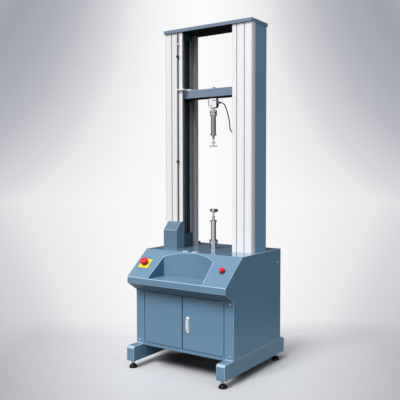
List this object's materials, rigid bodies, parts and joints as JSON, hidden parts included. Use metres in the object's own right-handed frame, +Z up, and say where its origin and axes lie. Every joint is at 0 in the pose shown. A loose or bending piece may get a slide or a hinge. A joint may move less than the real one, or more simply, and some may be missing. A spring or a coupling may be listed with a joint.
{
  "type": "universal testing machine",
  "caption": "Floor-standing two-column tensile and compression tester: crosshead on lead screws, load cell, limit rod, sloped console and cabinet on foot beams.",
  "frame": {"origin": "on the floor, under the middle of the machine's bounding box", "axes": "+X to the operator's right, +Y to the back, +Z up"},
  "size_m": [0.611, 0.616, 1.8],
  "materials": {
    "blue_paint": "satin blue-grey powder coat",
    "deck_paint": "glossy blue-grey paint",
    "profile": "fine satin anodised aluminium",
    "steel": "turned and ground steel",
    "dark_steel": "black oxide steel",
    "inner_frame": "dark grey paint",
    "chrome": "polished chrome plate",
    "zinc": "bright zinc plate",
    "cell_silver": "bead-blasted nickel plate",
    "black_plastic": "fine moulded texture",
    "foot_plastic": "black moulded nylon",
    "red_plastic": "glossy moulded",
    "yellow_plastic": "satin moulded",
    "cable_jacket": "matt flexible jacket",
    "bronze": "machined bronze",
    "strip": "dark ribbed strip",
    "belt": "toothed belt"
  },
  "bodies": {
    "base": {"leg_beam_left": "blue_paint", "leg_beam_right": "blue_paint", "side_panel_left": "blue_paint", "side_panel_right": "blue_paint", "back_panel": "blue_paint", "floor_panel": "blue_paint", "front_frame": "blue_paint", "console_skin": "blue_paint", "console_tray": "blue_paint", "deck_plate": "deck_paint", "base_plate": "inner_frame", "frame_posts": "inner_frame", "door_hinges": "zinc", "column_front_left": "profile", "column_front_right": "profile", "column_rear_profiles": "profile", "column_covers": "blue_paint", "dust_strips": "strip", "top_plate": "blue_paint", "guide_rods": "chrome", "screw_bearings": "blue_paint", "drive_motor": "black_plastic", "drive_belt": "belt", "control_box": "inner_frame", "mains_inlet": "black_plastic", "limit_switch_box": "blue_paint", "jig_body": "chrome", "vise_head": "chrome", "estop_plate": "yellow_plastic", "switch_bodies": "black_plastic", "deck_plugs": "chrome", "fasteners": "zinc"},
    "foot_front_left": {"foot_front_left": "foot_plastic"},
    "foot_front_right": {"foot_front_right": "foot_plastic"},
    "foot_rear_left": {"foot_rear_left": "foot_plastic"},
    "foot_rear_right": {"foot_rear_right": "foot_plastic"},
    "door_left": {"door_left": "blue_paint"},
    "door_right": {"door_right": "blue_paint", "handle_base": "zinc"},
    "door_handle": {"handle_lever": "chrome"},
    "crosshead": {"crosshead_beam": "blue_paint", "crosshead_bushes": "bronze", "limit_arm": "zinc", "load_cell": "cell_silver", "upper_grip_body": "dark_steel", "presser_foot": "chrome", "load_cell_cable": "cable_jacket", "cable_gland": "black_plastic"},
    "upper_lock_rings": {"upper_lock_rings": "dark_steel"},
    "lead_screw_left": {"lead_screw_left": "steel"},
    "lead_screw_right": {"lead_screw_right": "steel"},
    "motor_rotor": {"motor_pulley": "steel"},
    "limit_rod": {"limit_rod": "dark_steel"},
    "stop_collar_upper": {"stop_collar_upper": "dark_steel"},
    "stop_collar_lower": {"stop_collar_lower": "dark_steel"},
    "estop_head": {"estop_head": "red_plastic"},
    "button_cap": {"button_cap": "red_plastic"},
    "jig_lock_ring": {"jig_lock_ring": "dark_steel"},
    "vise_screw": {"vise_screw": "black_plastic"}
  },
  "joints": [
    {"name": "foot_front_left_level", "type": "slide", "parent": "base", "child": "foot_front_left", "axis": [0, 0, -1], "range_m": [0, 0.015]},
    {"name": "foot_front_right_level", "type": "slide", "parent": "base", "child": "foot_front_right", "axis": [0, 0, -1], "range_m": [0, 0.015]},
    {"name": "foot_rear_left_level", "type": "slide", "parent": "base", "child": "foot_rear_left", "axis": [0, 0, -1], "range_m": [0, 0.015]},
    {"name": "foot_rear_right_level", "type": "slide", "parent": "base", "child": "foot_rear_right", "axis": [0, 0, -1], "range_m": [0, 0.015]},
    {"name": "door_left_swing", "type": "hinge", "parent": "base", "child": "door_left", "pos_m": [-0.241, -0.221, 0.263], "axis": [0, 0, -1], "range_deg": [0, 100]},
    {"name": "door_right_swing", "type": "hinge", "parent": "base", "child": "door_right", "pos_m": [0.241, -0.221, 0.263], "axis": [0, 0, 1], "range_deg": [0, 100]},
    {"name": "door_handle_turn", "type": "hinge", "parent": "door_right", "child": "door_handle", "pos_m": [0.033, -0.234, 0.287], "axis": [0, -1, 0], "range_deg": [0, 90]},
    {"name": "crosshead_travel", "type": "slide", "parent": "base", "child": "crosshead", "axis": [0, 0, 1], "range_m": [-0.32, 0.16]},
    {"name": "lead_screw_left_turn", "type": "hinge", "parent": "base", "child": "lead_screw_left", "pos_m": [-0.2, 0.062, 1], "axis": [0, 0, 1], "continuous": true},
    {"name": "lead_screw_right_turn", "type": "hinge", "parent": "base", "child": "lead_screw_right", "pos_m": [0.2, 0.062, 1], "axis": [0, 0, 1], "continuous": true},
    {"name": "motor_turn", "type": "hinge", "parent": "base", "child": "motor_rotor", "pos_m": [0, 0.13, 0.555], "axis": [0, 0, 1], "continuous": true},
    {"name": "upper_lock_rings_turn", "type": "hinge", "parent": "crosshead", "child": "upper_lock_rings", "pos_m": [0, 0.062, 1.342], "axis": [0, 0, 1], "continuous": true},
    {"name": "limit_rod_trip", "type": "slide", "parent": "base", "child": "limit_rod", "axis": [0, 0, 1], "range_m": [-0.004, 0.004], "stiffness_N_per_m": 2000, "springref_m": 0.00125},
    {"name": "stop_collar_upper_set", "type": "slide", "parent": "limit_rod", "child": "stop_collar_upper", "axis": [0, 0, 1], "range_m": [0, 0.05]},
    {"name": "stop_collar_lower_set", "type": "slide", "parent": "limit_rod", "child": "stop_collar_lower", "axis": [0, 0, 1], "range_m": [-0.2, 0]},
    {"name": "estop_press", "type": "slide", "parent": "base", "child": "estop_head", "axis": [0, 0.6354, -0.7722], "range_m": [0, 0.005], "stiffness_N_per_m": 1500, "springref_m": -0.002},
    {"name": "button_press", "type": "slide", "parent": "base", "child": "button_cap", "axis": [0, 0.6354, -0.7722], "range_m": [0, 0.004], "stiffness_N_per_m": 800, "springref_m": -0.002},
    {"name": "jig_lock_ring_turn", "type": "hinge", "parent": "base", "child": "jig_lock_ring", "pos_m": [0, 0.062, 0.647], "axis": [0, 0, 1], "continuous": true},
    {"name": "vise_screw_feed", "type": "slide", "parent": "base", "child": "vise_screw", "axis": [1, 0, 0], "range_m": [0, 0.006]}
  ],
  "couplings": [
    {"joint": "lead_screw_left_turn", "follows": "crosshead_travel", "rad_per_m": -314.16},
    {"joint": "lead_screw_right_turn", "follows": "crosshead_travel", "rad_per_m": -314.16},
    {"joint": "motor_turn", "follows": "crosshead_travel", "rad_per_m": -392.7}
  ]
}
